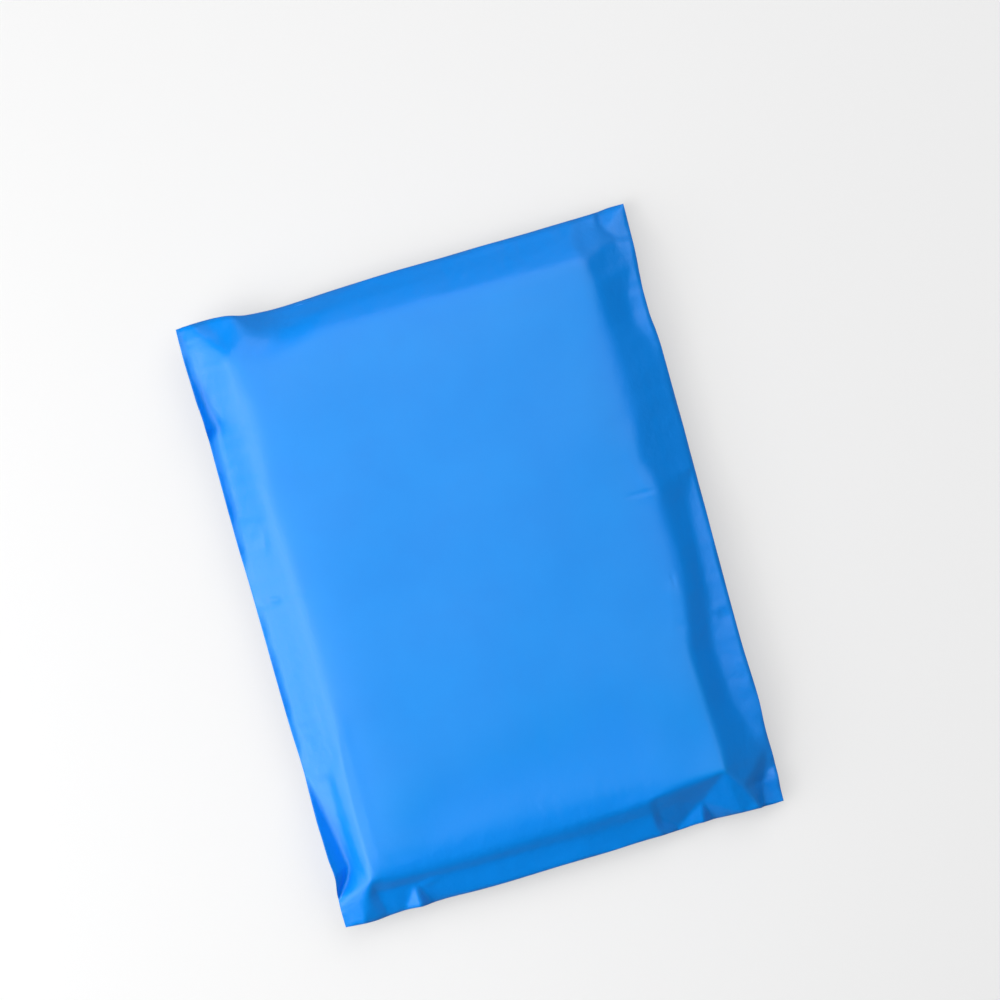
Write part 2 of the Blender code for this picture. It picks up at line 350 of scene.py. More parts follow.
class Relief:
    """Heights of the front panel, from the creases that cross it."""

    pitch: float = 0.5
    levels: tuple[float, ...] = (0.5, 1.0, 2.0, 4.0, 8.0)
    blur_reach: float = 3.0
    softness_blur: float = 1.5
    wrinkle_fade: int = 3
    end_margin: float = 1.001
    same_place: float = 1e-4
    least_area: float = 1e-9
    left_curl: Curl = Curl(2.0, 4.4)
    right_curl: Curl = Curl(-0.8, 2.0)
    near_curl: Curl = Curl(-0.6, 1.8)
    far_curl: Curl = Curl(-1.0, 2.4)
    corner_fade: float = 6.0

    def __init__(self, creases: tuple[Crease, ...], wrinkles: tuple[Wrinkle, ...]) -> None:
        """Stretch the film between the creases and round it at each.

        Args:
            creases: Every crease, the rim among them.
            wrinkles: Fine ridges and grooves that lie on the film.
        """
        self.across = np.arange(-HALF_WIDTH, HALF_WIDTH + TINY, self.pitch)
        self.along = np.arange(-HALF_LENGTH, HALF_LENGTH + TINY, self.pitch)
        facets, softness = self.stretched(creases)
        self.heights = self.rounded(facets, softness) + self.wrinkled(wrinkles)
        self.heights += self.loosened(Slack())

    def stretched(self, creases: tuple[Crease, ...]) -> tuple[np.ndarray, np.ndarray]:
        """Flat facets between the creases.

        Args:
            creases: Every crease.

        Returns:
            The height and the softness at each point of the raster.
        """
        places: dict[tuple[float, float], int] = {}
        values: list[list[float]] = []
        edges: list[tuple[int, int]] = []
        for crease in creases:
            chain = []
            for x, y, z in crease.points:
                key = (round(x, 3), round(y, 3))
                if key not in places:
                    places[key] = len(values)
                    values.append([z, crease.softness])
                number = places[key]
                if abs(values[number][0] - z) > TINY:
                    LOG.info("crease heights differ at %s", key)
                values[number][1] = min(values[number][1], crease.softness)
                chain.append(number)
            edges += list(zip(chain, chain[1:]))
        found = delaunay_2d_cdt([Vector(p) for p in places], edges, [], 0, self.same_place)
        points, faces, origins = found[0], found[2], found[3]
        table = np.zeros((len(points), 2))
        for number, names in enumerate(origins):
            if names:
                table[number] = values[names[0]]
            else:
                LOG.info("creases cross at %s", tuple(points[number]))
        height = np.full((len(self.across), len(self.along)), np.nan)
        softness = np.full_like(height, 1.0)
        for face in faces:
            self.paint(height, softness, [points[k] for k in face], table[list(face)])
        missing = np.isnan(height)
        if missing.any():
            LOG.info("relief has %d empty points", int(missing.sum()))
            height[missing] = PACK_TOP
        return height, softness

    def paint(
        self, height: np.ndarray, softness: np.ndarray, corners: list[Vector], table: np.ndarray
    ) -> None:
        """Fill one flat facet of the raster.

        Args:
            height: Heights to fill.
            softness: Softness to fill.
            corners: The facet's three corners.
            table: Height and softness at each corner.
        """
        (ax, ay), (bx, by), (cx, cy) = corners
        area = (bx - ax) * (cy - ay) - (cx - ax) * (by - ay)
        if abs(area) < self.least_area:
            return
        i0, i1 = np.searchsorted(self.across, (min(ax, bx, cx) - TINY, max(ax, bx, cx) + TINY))
        j0, j1 = np.searchsorted(self.along, (min(ay, by, cy) - TINY, max(ay, by, cy) + TINY))
        x, y = np.meshgrid(self.across[i0:i1], self.along[j0:j1], indexing="ij")
        second = ((x - ax) * (cy - ay) - (cx - ax) * (y - ay)) / area
        third = ((bx - ax) * (y - ay) - (x - ax) * (by - ay)) / area
        first = 1 - second - third
        inside = (first > -TINY) & (second > -TINY) & (third > -TINY)
        for column, layer in enumerate((height, softness)):
            value = first * table[0, column] + second * table[1, column] + third * table[2, column]
            block = layer[i0:i1, j0:j1]
            block[inside] = value[inside]

    def blurred(
        self, layer: np.ndarray, radius: float, along: float = 0.0, edges: str = "odd"
    ) -> np.ndarray:
        """A layer smoothed over a radius in millimetres.

        Args:
            layer: Values on the raster.
            radius: Radius across the bag, and along it where along is left out.
            along: Radius along the bag.
            edges: "odd" keeps the slopes at the rim, and "even" keeps the values.

        Returns:
            The smooth layer.
        """
        for axis, size in enumerate((radius, along or radius)):
            reach = int(math.ceil(self.blur_reach * size / self.pitch))
            steps = np.arange(-reach, reach + 1)
            weights = np.exp(-0.5 * (steps * self.pitch / size) ** 2)
            weights /= weights.sum()
            pad = [(0, 0), (0, 0)]
            pad[axis] = (reach, reach)
            wide = np.pad(layer, pad, mode="reflect", reflect_type=edges)
            total = np.zeros_like(layer)
            for k, weight in enumerate(weights):
                cut = slice(k, k + layer.shape[axis])
                total += weight * (wide[cut, :] if axis == 0 else wide[:, cut])
            layer = total
        return layer

    def rounded(self, facets: np.ndarray, softness: np.ndarray) -> np.ndarray:
        """The facets with each crease rounded over its own softness.

        Args:
            facets: Heights of the flat facets.
            softness: Softness at each point of the raster.

        Returns:
            The rounded heights.
        """
        softness = np.clip(self.blurred(softness, self.softness_blur), self.levels[0], self.levels[-1])
        layers = [self.blurred(facets, radius) for radius in self.levels]
        result = np.zeros_like(facets)
        place = np.log2(softness / self.levels[0])
        for number, layer in enumerate(layers):
            result += layer * np.clip(1 - np.abs(place - number), 0, 1)
        return result

    def wrinkled(self, wrinkles: tuple[Wrinkle, ...]) -> np.ndarray:
        """Heights of the fine wrinkles, each fading out at its ends.

        Args:
            wrinkles: The wrinkles.

        Returns:
            Heights to add.
        """
        x, y = np.meshgrid(self.across, self.along, indexing="ij")
        total = np.zeros_like(x)
        for wrinkle in wrinkles:
            start, run = np.array(wrinkle.start), np.subtract(wrinkle.end, wrinkle.start)
            length = float(np.hypot(*run))
            along = ((x - start[0]) * run[0] + (y - start[1]) * run[1]) / length
            beside = ((y - start[1]) * run[0] - (x - start[0]) * run[1]) / length
            fade = np.clip(1 - np.abs(2 * along / length - 1) ** self.wrinkle_fade, 0, 1)
            total += wrinkle.height * fade * np.exp(-((beside / wrinkle.width) ** 2))
        return total

    def loosened(self, slack: Slack) -> np.ndarray:
        """Unevenness: slow over the face, crinkled across the slopes and curled at the rim.

        Args:
            slack: Lifts and sizes of the unevenness.

        Returns:
            Heights to add.
        """
        rng = np.random.default_rng(slack.seed)
        x, y = np.meshgrid(self.across, self.along, indexing="ij")

        def uneven(across: float, along: float) -> np.ndarray:
            """Smooth random heights of about one millimetre."""
            noise = self.blurred(rng.standard_normal(x.shape), across, along, "even")
            return noise / noise.std()

        from_side, from_end = HALF_WIDTH - np.abs(x), HALF_LENGTH - np.abs(y)
        inward = np.minimum(from_side, from_end)
        slope_share = np.clip((slack.level_height - self.heights) / slack.loose_drop, 0, 1)
        slope_share = self.blurred(slope_share, slack.loose_blur)
        sideways = 1 / (1 + np.exp((from_side - from_end) / slack.corner_blend))
        wide = uneven(slack.face_size, slack.face_size)
        cross = uneven(slack.slope_reach, slack.slope_size) * sideways
        cross += uneven(slack.slope_size, slack.slope_reach) * (1 - sideways)
        fine = uneven(slack.rim_size, slack.rim_size) * np.clip(1 - inward / slack.rim_reach, 0, 1)
        total = slack.face_lift * wide + slack.slope_lift * slope_share * cross + slack.rim_lift * fine
        vary = 1 + slack.curl_vary * uneven(slack.curl_size, slack.curl_size)
        upright = np.clip((y - slack.upright_from) / slack.upright_fade, 0, 1)
        at_sides = vary * np.clip(from_end / self.corner_fade, 0, 1)
        at_ends = vary * np.clip(from_side / self.corner_fade, 0, 1)
        for distance, curl, share in (
            (HALF_WIDTH + x, self.left_curl, upright * at_sides),
            (HALF_WIDTH - x, self.right_curl, at_sides),
            (HALF_LENGTH + y, self.near_curl, at_ends),
            (HALF_LENGTH - y, self.far_curl, at_ends),
        ):
            total += share * curl.rise * np.clip(1 - distance / curl.width, 0, 1) ** 2
        return total

    def at(self, x: np.ndarray, y: np.ndarray) -> np.ndarray:
        """Heights at any places on the panel."""
        return self.read(self.heights, x, y)

    def read(self, layer: np.ndarray, x: np.ndarray, y: np.ndarray) -> np.ndarray:
        """Values of a layer of the raster at any places on the panel.

        Args:
            layer: Values on the raster.
            x: Places across the bag.
            y: Places along the bag.

        Returns:
            The values.
        """
        fi = np.clip((x + HALF_WIDTH) / self.pitch, 0, len(self.across) - self.end_margin)
        fj = np.clip((y + HALF_LENGTH) / self.pitch, 0, len(self.along) - self.end_margin)
        i, j = fi.astype(int), fj.astype(int)
        a, b = fi - i, fj - j
        low = layer[i, j] * (1 - a) + layer[i + 1, j] * a
        high = layer[i, j + 1] * (1 - a) + layer[i + 1, j + 1] * a
        return low * (1 - b) + high * b


@dataclass(frozen=True)
class Bow:
    """How far one side of the rim stands outside its straight line, in millimetres."""

    places: tuple[float, ...]
    values: tuple[float, ...]

    def at(self, along: np.ndarray) -> np.ndarray:
        """The bow at places along the side."""
        return smooth_through(np.array(self.places), np.array(self.values), along)


@dataclass
class Outline:
    """The bag's bowed outline, as the photo shows it."""

    reach: float = 24.0
    left: Bow = Bow(
        (-147, -142, -133, -123, -114, -104, -95, -66, -47, 0, 48, 77, 96, 115, 134, 147),
        (-0.1, -0.15, -0.6, -2.2, -1.4, -1.1, -0.75, -0.75, -0.25, 0, 0.4, 0.3, 0.05, 0.7, 1.3, 1.2),
    )
    right: Bow = Bow(
        (-147, -142, -133, -123, -114, -95, -66, -47, 0, 48, 77, 86, 96, 105, 115, 124, 134, 147),
        (-1.4, -1.3, -0.7, -0.5, -0.75, 0, -0.7, -0.6, 0, 0.5, 0.5, 0.1, -0.8, -0.8, -0.2, 0.6, 1.1, 1.5),
    )
    near: Bow = Bow(
        (-110, -106, -96, -87, -77, -68, -58, -39, -20, 0, 18, 37, 56, 66, 75, 94, 104, 110),
        (1.2, 1.4, 1.9, 1.3, 0.8, 1.2, 0.9, 1.3, 1.0, 0.5, 0.4, -0.2, -0.4, -1.1, -0.9, -0.6, -0.3, -0.5),
    )
    far: Bow = Bow(
        (-110, -106, -96, -87, -77, -68, -58, -39, -20, 0, 18, 37, 56, 75, 94, 104, 110),
        (1.0, 1.3, 1.6, 0.9, -1.2, -1.6, -1.7, -1.0, -0.4, 0.15, 0.2, 0.5, 0.5, 0.7, 1.2, 2.1, 2.0),
    )

    def fade(self, inward: np.ndarray) -> np.ndarray:
        """How much of the bow is felt at a distance in from the rim."""
        t = np.clip(1 - inward / self.reach, 0, 1)
        return t * t * (3 - 2 * t)

    def bowed(self, x: np.ndarray, y: np.ndarray) -> tuple[np.ndarray, np.ndarray]:
        """Places in plan, moved with the bowed outline.

        Args:
            x: Places across the straight outline.
            y: Places along it.

        Returns:
            The moved places.
        """
        right = self.right.at(y) * self.fade(HALF_WIDTH - x)
        left = self.left.at(y) * self.fade(HALF_WIDTH + x)
        far = self.far.at(x) * self.fade(HALF_LENGTH - y)
        near = self.near.at(x) * self.fade(HALF_LENGTH + y)
        return x + right - left, y + far - near


def from_rim(x: np.ndarray | float, y: np.ndarray | float) -> np.ndarray | float:
    """How far places of the straight outline lie in from the rim."""
    return np.minimum(HALF_WIDTH - np.abs(x), HALF_LENGTH - np.abs(y))


def graded(zones: Triples) -> np.ndarray:
    """Grid lines with a spacing of their own in each zone.

    Args:
        zones: Start, end and spacing of each zone, in order.

    Returns:
        The places of the lines.
    """
    lines = [zones[0][0]]
    for start, end, step in zones:
        count = max(1, round((end - start) / step))
        lines += list(start + (end - start) * np.arange(1, count + 1) / count)
    return np.array(lines)


def lay_grid(
    shape: bmesh.types.BMesh, points: np.ndarray, turned: bool
) -> list[tuple[bmesh.types.BMVert, int, int]]:
    """Add a sheet of film to a shape.

    Args:
        shape: The shape to add to.
        points: Places in millimetres, by column and row.
        turned: Whether the sheet's faces point down.

    Returns:
        Each new point with its column and row.
    """
    columns, rows = points.shape[0] - 1, points.shape[1] - 1
    before = set(shape.faces)
    made = bmesh.ops.create_grid(shape, x_segments=columns, y_segments=rows, size=0.5)
    placed = []
    for vertex in made["verts"]:
        i = round((vertex.co.x + 0.5) * columns)
        j = round((vertex.co.y + 0.5) * rows)
        vertex.co = Vector(points[i, j]) * MM
        placed.append((vertex, i, j))
    if turned:
        bmesh.ops.reverse_faces(shape, faces=[f for f in shape.faces if f not in before])
    return placed


def finished(shape: bmesh.types.BMesh, name: str) -> bpy.types.Object:
    """Turn a shape into an object at the origin.

    Args:
        shape: The shape, which is used up.
        name: The object's name.

    Returns:
        The object.
    """
    mesh = bpy.data.meshes.new(name)
    shape.to_mesh(mesh)
    shape.free()
    piece = bpy.data.objects.new(name, mesh)
    bpy.context.scene.collection.objects.link(piece)
    return piece


@dataclass
class FilmBag:
    """The whole bag as one film, in millimetres until its mesh is written."""

    flat_width: float = 229.0
    flat_length: float = 305.0
    film_gap: float = 0.22
    flange: float = 3.0
    flap_depth: float = 45.0
    flap_end: float = 108.0
    flap_step: float = 0.34
    flap_lead: float = 4.0
    flap_ramp: float = 3.0
    inner_room: float = 2.0
    table_gap: float = 0.03
    moved_gap: float = 0.06
    resting_height: float = 0.5
    side_power: int = 4
    corner_power: int = 8
    fine_x: Triples = (
        (-109.75, -86, 0.54),
        (-86, -62, 1.2),
        (-62, 44, 3.2),
        (44, 80, 0.72),
        (80, 109.75, 0.56),
    )
    fine_y: Triples = (
        (-147.25, -119, 0.54),
        (-119, 5, 2.0),
        (5, 22, 0.8),
        (22, 84, 2.0),
        (84, 122, 1.5),
        (122, 147.25, 0.54),
    )
    relief: Relief = field(init=False)
    outline: Outline = field(default_factory=Outline)
    moved: dict[Panel, list[np.ndarray]] = field(default_factory=dict)

    def __post_init__(self) -> None:
        """Fold the front panel along its creases."""
        folds = FACE_SWELLS + SHOULDERS + LEFT_FOLDS + NEAR_FOLDS + RIGHT_FOLDS + FAR_FOLDS
        self.relief = Relief(RIM + folds, WRINKLES)

    def flat_place(self, place: np.ndarray, axis: Axis) -> np.ndarray:
        """Where places in plan lie on the flat bag.

        Args:
            place: Places in plan, along one axis.
            axis: That axis.

        Returns:
            Places on the flat bag.
        """
        if axis is Axis.WIDTH:
            low, high, half, flat = PACK_LEFT, PACK_RIGHT, HALF_WIDTH, self.flat_width
        else:
            low, high, half, flat = PACK_NEAR, PACK_FAR, HALF_LENGTH, self.flat_length
        low_film = math.hypot(low + half, PACK_TOP / 2)
        high_film = math.hypot(half - high, PACK_TOP / 2)
        total = low_film + high_film + high - low
        places = np.array([-half, low, high, half])
        films = np.array([0, low_film, low_film + high - low, total]) / total * flat - flat / 2
        return np.interp(place, places, films)

    def rim_height(self, x: np.ndarray, y: np.ndarray) -> tuple[np.ndarray, np.ndarray]:
        """Height of the rim beside each place, and how far towards the rim the place is.

        Args:
            x: Places across the bag.
            y: Places along the bag.

        Returns:
            The heights, and shares from nought at the pack to one at the rim.
        """
        side_x = np.where(x < 0, -HALF_WIDTH, HALF_WIDTH)
        side_y = np.where(y < 0, -HALF_LENGTH, HALF_LENGTH)
        left, right = (PACK_LEFT - x) / (PACK_LEFT + HALF_WIDTH), (x - PACK_RIGHT) / (HALF_WIDTH - PACK_RIGHT)
        near, far = (PACK_NEAR - y) / (PACK_NEAR + HALF_LENGTH), (y - PACK_FAR) / (HALF_LENGTH - PACK_FAR)
        share_x = np.clip(np.maximum(left, right), 0, 1)
        share_y = np.clip(np.maximum(near, far), 0, 1)
        beside_x = self.relief.at(side_x, y)
        beside_y = self.relief.at(x, side_y)
        weight = share_x**self.side_power / (share_x**self.side_power + share_y**self.side_power + LEAST)
        share = (share_x**self.corner_power + share_y**self.corner_power) ** (1 / self.corner_power)
        return beside_x * weight + beside_y * (1 - weight), np.clip(share, 0, 1)

    def folded(self, x: np.ndarray, y: np.ndarray) -> dict[Panel, np.ndarray]:
        """Both panels at places of the straight outline.

        Args:
            x: Places across the bag.
            y: Places along the bag.

        Returns:
            Points of each panel.
        """
        top = self.relief.at(x, y)
        rim, share = self.rim_height(x, y)
        inward = from_rim(x, y)
        bottom = rim * share
        closing = np.clip(inward / self.flange - 1, 0, 1)
        clear = self.film_gap + self.inner_room * closing
        weld = np.clip(1 - inward / self.flange, 0, 1)
        bottom = np.minimum(bottom, top - clear)
        bottom = bottom * (1 - weld) + (top - self.film_gap) * weld
        plan_x, plan_y = self.outline.bowed(x, y)
        front = np.stack([plan_x, plan_y, top], axis=-1)
        lifted = np.clip((y - self.flap_end + self.flap_lead) / self.flap_ramp, 0, 1)
        lowest = self.table_gap + self.flap_step * lifted * lifted * (3 - 2 * lifted)
        back = np.stack([plan_x, plan_y, np.maximum(bottom, lowest)], axis=-1)
        return {Panel.FRONT: front, Panel.BACK: back}

    def settled_panels(self, lines_x: np.ndarray, lines_y: np.ndarray) -> dict[Panel, np.ndarray]:
        """Both panels on a grid, moved as far as the film has settled so far.

        Args:
            lines_x: Grid lines across the bag.
            lines_y: Grid lines along the bag.

        Returns:
            Points of each panel.
        """
        x, y = np.meshgrid(lines_x, lines_y, indexing="ij")
        panels = self.folded(x, y)
        if not self.moved:
            return panels
        for panel, points in panels.items():
            for axis in range(3):
                points[..., axis] += self.relief.read(self.moved[panel][axis], x, y)
        lowest = self.folded(x, y)[Panel.BACK][..., 2]
        back, front = panels[Panel.BACK], panels[Panel.FRONT]
        inner = from_rim(x, y) > self.flange
        floor = np.where(lowest < self.resting_height, lowest, self.moved_gap)
        back[..., 2] = np.maximum(back[..., 2], floor)
        clear = np.where(inner, 2 * self.film_gap, self.film_gap)
        back[..., 2] = np.where(inner, np.minimum(back[..., 2], front[..., 2] - clear), front[..., 2] - clear)
        return panels

    def sewn(
        self, name: str, lines_x: np.ndarray, lines_y: np.ndarray, merged: bool
    ) -> bpy.types.Object:
        """Both panels as one closed object, with the flat pattern as its UV map.

        Args:
            name: The object's name.
            lines_x: Grid lines across the bag.
            lines_y: Grid lines along the bag.
            merged: Whether the panels share the rim, or a thin edge joins them.

        Returns:
            The object.
        """
        panels = self.settled_panels(lines_x, lines_y)
        if merged:
            rim = np.ones((len(lines_x), len(lines_y)), bool)
            rim[1:-1, 1:-1] = False
            middle = (panels[Panel.FRONT] + panels[Panel.BACK]) / 2
            for points in panels.values():
                points[rim] = middle[rim]
        flat_x = self.flat_place(lines_x, Axis.WIDTH) * MM
        flat_y = self.flat_place(lines_y, Axis.LENGTH) * MM
        film = bmesh.new()
        flat_map = film.loops.layers.uv.new("flat_pattern")
        keys = {name: film.verts.layers.int.new(name) for name in ("panel", "column", "row")}
        for panel, points in panels.items():
            for vertex, i, j in lay_grid(film, points, panel is Panel.BACK):
                vertex[keys["panel"]], vertex[keys["column"]], vertex[keys["row"]] = panel.value, i, j
                for loop in vertex.link_loops:
                    loop[flat_map].uv = (flat_x[i], flat_y[j])
        if merged:
            rim_points = [v for v in film.verts if v.is_boundary]
            bmesh.ops.remove_doubles(film, verts=rim_points, dist=TINY)
        else:
            bmesh.ops.bridge_loops(film, edges=[e for e in film.edges if e.is_boundary])
        film.normal_update()
        return finished(film, name)


@dataclass
class Settling:
    """Cloth simulation of the film round the pack, run ten times as large.

    It runs on a coarse copy of the bag whose springs have the lengths of the flat
    pattern. Only the coarse copy's movement is carried over to the fine film.
    """

    lines_x: Triples = ((-109.75, -85, 3.1), (-85, 80, 5.5), (80, 109.75, 3.0))
    lines_y: Triples = ((-147.25, -122, 3.1), (-122, 126, 5.4), (126, 147.25, 3.0))
    enlarge: float = 10.0
    frames: int = 22
    quality: int = 7
    front_hold: float = 0.92
    rim_hold: float = 0.9
    rim_width: float = 2.0
    back_hold: float = 0.15
    under_hold: float = 1.0
    under_height: float = 0.6
    suction: float = -0.5
    film_mass: float = 0.1
    stretch: float = 60.0
    shear: float = 30.0
    bending: float = 0.05
    damping: float = 8.0
    bend_damping: float = 0.5
    air_damping: float = 2.0
    touch_quality: int = 3
    touch: float = 0.003
    touch_depth: float = 0.05
    friction: float = 5.0
    pattern_rise: float = 0.001
    table_size: float = 3.0
    table_drop: float = 0.004
    pack_rounding: float = 4.5
    pack_lift: float = 0.4
    inset: float = 3.0
    blur: float = 3.0
    most_front: float = 0.5
    most_back: float = 3.0

    def run(self, bag: FilmBag) -> None:
        """Let the film settle and give the bag its movement.

        Args:
            bag: The folded bag.
        """
        lines_x, lines_y = graded(self.lines_x), graded(self.lines_y)
        film = bag.sewn("settling_film", lines_x, lines_y, merged=True)
        film.data.transform(Matrix.Scale(self.enlarge, 4))
        helpers = [self.pack_block(), self.table()]
        before = self.places(film.data)
        self.hold(film)
        self.dress(film)
        scene = bpy.context.scene
        for number in range(1, self.frames + 1):
            scene.frame_set(number)
        graph = bpy.context.evaluated_depsgraph_get()
        after = self.places(film.evaluated_get(graph).data)
        step = (after - before) / self.enlarge / MM
        columns = np.empty(len(step), int)
        rows, panel = columns.copy(), columns.copy()
        for name, values in (("column", columns), ("row", rows), ("panel", panel)):
            film.data.attributes[name].data.foreach_get("value", values)
        rim = (columns % (len(lines_x) - 1) == 0) | (rows % (len(lines_y) - 1) == 0)
        for side in Panel:
            grid = np.zeros((len(lines_x), len(lines_y), 3))
            mine = rim | (panel == side.value)
            grid[columns[mine], rows[mine]] = step[mine]
            bag.moved[side] = self.spread(bag.relief, grid, lines_x, lines_y, side)
            most = max(float(np.abs(layer).max()) for layer in bag.moved[side])
            LOG.info("%s panel settled, at most %.2f mm", side.name.lower(), most)
        for piece in [film, *helpers]:
            used = piece.data
            bpy.data.objects.remove(piece)
            bpy.data.meshes.remove(used)
        scene.frame_set(1)

    def spread(
        self, relief: Relief, grid: np.ndarray, lines_x: np.ndarray, lines_y: np.ndarray, side: Panel
    ) -> list[np.ndarray]:
        """The coarse movement on the relief's raster, capped and smooth.

        Args:
            relief: The raster to use.
            grid: Movement at each coarse point, in millimetres.
            lines_x: Coarse lines across the bag.
            lines_y: Coarse lines along the bag.
            side: The panel that moved.

        Returns:
            A layer for each axis.
        """
        most = self.most_front if side is Panel.FRONT else self.most_back
        layers = []
        for axis in range(3):
            capped = most * np.tanh(grid[..., axis] / most)
            across = np.array([np.interp(relief.across, lines_x, row) for row in capped.T])
            along = np.array([np.interp(relief.along, lines_y, row) for row in across.T])
            layers.append(relief.blurred(along, self.blur))
        return layers

    def places(self, mesh: bpy.types.Mesh) -> np.ndarray:
        """Where a mesh's points are.

        Args:
            mesh: The mesh.

        Returns:
            A row for each point.
        """
        found = np.empty(len(mesh.vertices) * 3)
        mesh.vertices.foreach_get("co", found)
        return found.reshape(-1, 3)

    def hold(self, film: bpy.types.Object) -> None:
        """Hold the creased front and the rim firmly, and the back only a little.

        Args:
            film: The coarse film.
        """
        panel = film.data.attributes["panel"].data
        group = film.vertex_groups.new(name="held")
        size = self.enlarge * MM
        for vertex in film.data.vertices:
            x, y, z = (c / size for c in vertex.co)
            if from_rim(x, y) < self.rim_width:
                share = self.rim_hold
            elif panel[vertex.index].value == Panel.FRONT.value:
                share = self.front_hold
            elif z < self.under_height:
                share = self.under_hold
            else:
                share = self.back_hold
            group.add([vertex.index], share, "REPLACE")

    def dress(self, film: bpy.types.Object) -> None:
        """Give the coarse film its Cloth modifier and the lengths of the flat pattern.

        Args:
            film: The coarse film.
        """
        cloth = film.modifiers.new("Settling", "CLOTH")
        settings = cloth.settings
        settings.quality = self.quality
        settings.mass = self.film_mass
        settings.air_damping = self.air_damping
        settings.tension_stiffness = settings.compression_stiffness = self.stretch
        settings.shear_stiffness = self.shear
        settings.bending_stiffness = self.bending
        settings.tension_damping = settings.compression_damping = self.damping
        settings.shear_damping = self.damping
        settings.bending_damping = self.bend_damping
        settings.effector_weights.gravity = 0.0
        settings.vertex_group_mass = "held"
        settings.use_pressure = True
        settings.uniform_pressure_force = self.suction
        settings.rest_shape_key = self.flat_key(film)
        cloth.collision_settings.collision_quality = self.touch_quality
        cloth.collision_settings.distance_min = self.touch
        cloth.point_cache.frame_start = 1
        cloth.point_cache.frame_end = self.frames

    def flat_key(self, film: bpy.types.Object) -> bpy.types.ShapeKey:
        """A shape key that holds the flat pattern.

        Args:
            film: The coarse film.

        Returns:
            The shape key.
        """
        film.shape_key_add(name="Basis")
        flat = film.shape_key_add(name="flat")
        pattern = film.data.uv_layers["flat_pattern"].data
        for loop in film.data.loops:
            across, along = pattern[loop.index].uv
            rise = film.data.vertices[loop.vertex_index].co.z * self.pattern_rise
            flat.data[loop.vertex_index].co = (across * self.enlarge, along * self.enlarge, rise)
        flat.value = 0.0
        return flat

    def pack_block(self) -> bpy.types.Object:
        """The hidden pack, a little smaller than the film round it.

        Returns:
            The block.
        """
        block = bmesh.new()
        bmesh.ops.create_cube(block, size=1.0)
        size = self.enlarge * MM
        width = (PACK_RIGHT - PACK_LEFT - 2 * self.inset) * size
        length = (PACK_FAR - PACK_NEAR - 2 * self.inset) * size
        bmesh.ops.scale(block, vec=(width, length, (PACK_TOP - self.inset) * size), verts=block.verts)
        middle_z = (PACK_TOP - self.inset) / 2 + self.pack_lift
        middle = Vector(((PACK_LEFT + PACK_RIGHT) / 2, (PACK_NEAR + PACK_FAR) / 2, middle_z))
        bmesh.ops.translate(block, vec=middle * size, verts=block.verts)
        edges, rounding = list(block.edges), self.pack_rounding * size
        bmesh.ops.bevel(
            block, geom=edges, offset=rounding, segments=4, profile=0.5, affect="EDGES", material=-1
        )
        return self.solid(block, "settling_pack")

    def table(self) -> bpy.types.Object:
        """The table under the coarse film.

        Returns:
            The table.
        """
        top = bmesh.new()
        bmesh.ops.create_grid(top, x_segments=1, y_segments=1, size=self.table_size)
        bmesh.ops.translate(top, vec=(0.0, 0.0, -self.table_drop), verts=top.verts)
        return self.solid(top, "settling_table")

    def solid(self, shape: bmesh.types.BMesh, name: str) -> bpy.types.Object:
        """An object that the film can't pass.

        Args:
            shape: Its shape, which is used up.
            name: Its name.

        Returns:
            The object.
        """
        piece = finished(shape, name)
        bpy.context.view_layer.update()
        piece.modifiers.new("Solid", "COLLISION")
        piece.collision.thickness_outer = self.touch
        piece.collision.thickness_inner = self.touch_depth
        piece.collision.cloth_friction = self.friction
        return piece


@dataclass
class Flap:
    """The closing flap, folded over the far rim and glued under the bag.

    waves are the lift, length and start of each wave in its free edge.
    """

    film: float = 0.12
    glue: float = 0.06
    lowest: float = 0.01
    step_x: Triples = ((-109.75, -62, 1.1), (-62, 48, 3.0), (48, 109.75, 1.1))
    step_y: float = 1.0
    waves: Triples = ((0.35, 9.0, 0.0), (0.2, 3.7, 1.0))
    wave_reach: float = 12.0

    def build(self, bag: FilmBag) -> bpy.types.Object:
        """Lay the flap on the back panel.

        Args:
            bag: The settled bag.

        Returns:
            The flap.
        """
        lines_x = graded(self.step_x)
        lines_y = graded(((bag.flap_end, HALF_LENGTH, self.step_y),))
        back = bag.settled_panels(lines_x, lines_y)[Panel.BACK]
        edge = sum(lift * np.sin(lines_x / length + start) for lift, length, start in self.waves)
        near = 1 - np.clip((lines_y - bag.flap_end) / self.wave_reach, 0, 1)
        back[..., 1] += edge[:, None] * near[None, :]
        down = -np.cross(np.gradient(back, axis=0), np.gradient(back, axis=1))
        down /= np.linalg.norm(down, axis=-1, keepdims=True)
        flap = bmesh.new()
        for depth, turned in ((self.glue, False), (self.glue + self.film, True)):
            layer = back + down * depth
            layer[..., 2] = np.maximum(layer[..., 2], self.lowest)
            lay_grid(flap, layer, turned)
        bmesh.ops.bridge_loops(flap, edges=[e for e in flap.edges if e.is_boundary])
        bmesh.ops.recalc_face_normals(flap, faces=flap.faces)
        return finished(flap, "closing_flap")


@dataclass(frozen=True)
class Pattern:
    """A noise pattern: cells in a metre, finer layers, stretch along each axis and bump in metres."""

    scale: float
    detail: float
    stretch: Point = (1.0, 1.0, 1.0)
    lift: float = 0.0


